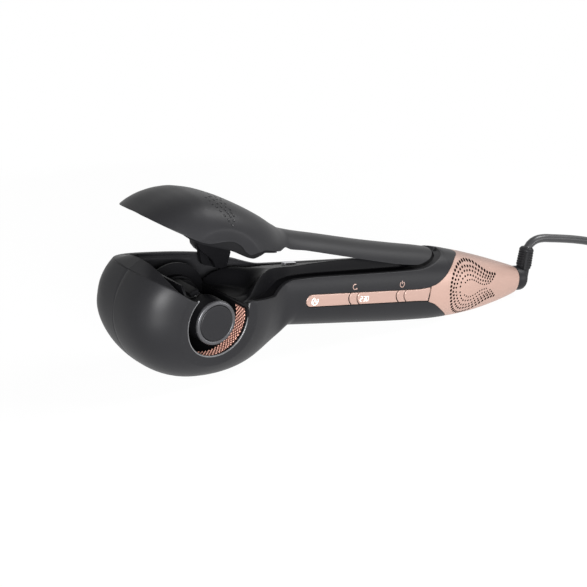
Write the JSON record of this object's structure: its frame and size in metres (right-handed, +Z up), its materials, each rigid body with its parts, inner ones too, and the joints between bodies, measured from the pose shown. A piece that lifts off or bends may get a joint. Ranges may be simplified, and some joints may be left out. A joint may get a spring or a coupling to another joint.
{
  "type": "automatic hair waver",
  "caption": "Handheld automatic hair waver with a hinged lid over a heated barrel, side opening, two buttons, rear cover and swivel mains lead.",
  "frame": {"origin": "centre of the box around the waver without its lead, on the surface it rests on", "axes": "+X along the handle towards the lead, +Y away from the side opening, +Z up"},
  "size_m": [0.5668, 0.0726, 0.1016],
  "materials": {
    "charcoal": "soft-touch matt",
    "black_plastic": "fine satin",
    "copper_paint": "metallic rose gold",
    "copper_gloss": "glossy metallic rose gold",
    "copper_lattice": "satin copper lattice",
    "steel": "turned",
    "tip_metal": "grey metallic",
    "barrel_metal": "satin",
    "ceramic": "dry white",
    "acetal": "natural",
    "board": "solder mask",
    "rubber": "soft",
    "cord_jacket": "satin PVC"
  },
  "bodies": {
    "body": {"near_casing": "charcoal", "far_casing": "charcoal", "mouth_rim": "charcoal", "deck": "black_plastic", "hinge_bracket": "black_plastic", "lid_spring": "steel", "pin_switch": "black_plastic", "barrel_tube": "barrel_metal", "barrel_stem": "barrel_metal", "ceramic_heater": "ceramic", "cool_tip": "black_plastic", "tip_ring": "tip_metal", "tip_disc": "charcoal", "chamber": "black_plastic", "chamber_liner": "copper_lattice", "rotor_bush": "black_plastic", "idler_pin": "steel", "motor": "steel", "chassis_plate": "steel", "strip_front": "copper_gloss", "strip_middle": "copper_gloss", "strip_rear": "copper_gloss", "button_switches": "black_plastic", "control_board": "board", "main_board": "board", "power_parts": "black_plastic", "buzzer": "black_plastic", "rear_cover": "copper_paint", "casing_screws": "steel", "cord_lead": "cord_jacket", "cord_coil": "cord_jacket", "plug_body": "cord_jacket", "plug_pins": "steel"},
    "lid": {"lid_shell": "charcoal", "lid_liner": "black_plastic", "hair_guide": "black_plastic", "lid_bumper": "rubber", "hinge_pin": "steel"},
    "rotor": {"rotor": "black_plastic", "rotor_gear": "acetal"},
    "idler": {"idler_gear": "acetal"},
    "pinion": {"motor_pinion": "acetal", "motor_shaft": "steel"},
    "swivel": {"swivel_collar": "charcoal", "swivel_flange": "black_plastic", "swivel_boot": "charcoal"},
    "timer_key": {"timer_button": "copper_gloss"},
    "power_key": {"power_button": "copper_gloss"},
    "plunger": {"lid_pin": "steel"}
  },
  "joints": [
    {"name": "lid_hinge", "type": "hinge", "parent": "body", "child": "lid", "pos_m": [0.05001, 0, 0.0417], "axis": [0, -1, 0], "range_deg": [0, 8.7], "stiffness_Nm_per_rad": 0.3, "springref_deg": -20.05},
    {"name": "timer_press", "type": "slide", "parent": "body", "child": "timer_key", "axis": [0, 1, 0], "range_m": [0, 0.0006], "stiffness_N_per_m": 2000, "springref_m": -0.0002},
    {"name": "power_press", "type": "slide", "parent": "body", "child": "power_key", "axis": [0, 1, 0], "range_m": [0, 0.0006], "stiffness_N_per_m": 2000, "springref_m": -0.0002},
    {"name": "pin_press", "type": "slide", "parent": "body", "child": "plunger", "axis": [-0.1359, 0, -0.9907], "range_m": [0, 0.0012]},
    {"name": "rotor_spin", "type": "hinge", "parent": "body", "child": "rotor", "pos_m": [-0.10219, 0, 0.03593], "axis": [0, 1, 0], "continuous": true},
    {"name": "idler_spin", "type": "hinge", "parent": "body", "child": "idler", "pos_m": [-0.08396, 0, 0.02549], "axis": [0, 1, 0], "continuous": true},
    {"name": "pinion_spin", "type": "hinge", "parent": "body", "child": "pinion", "pos_m": [-0.07616, 0, 0.02102], "axis": [0, 1, 0], "continuous": true},
    {"name": "cord_swivel", "type": "hinge", "parent": "body", "child": "swivel", "pos_m": [0.13239, 0, 0.01163], "axis": [0.9907, 0, -0.1359], "continuous": true}
  ],
  "couplings": [
    {"joint": "idler_spin", "follows": "rotor_spin", "ratio": -2.5},
    {"joint": "pinion_spin", "follows": "rotor_spin", "ratio": 5},
    {"joint": "pin_press", "follows": "lid_hinge", "m_per_rad": 0.0079}
  ]
}
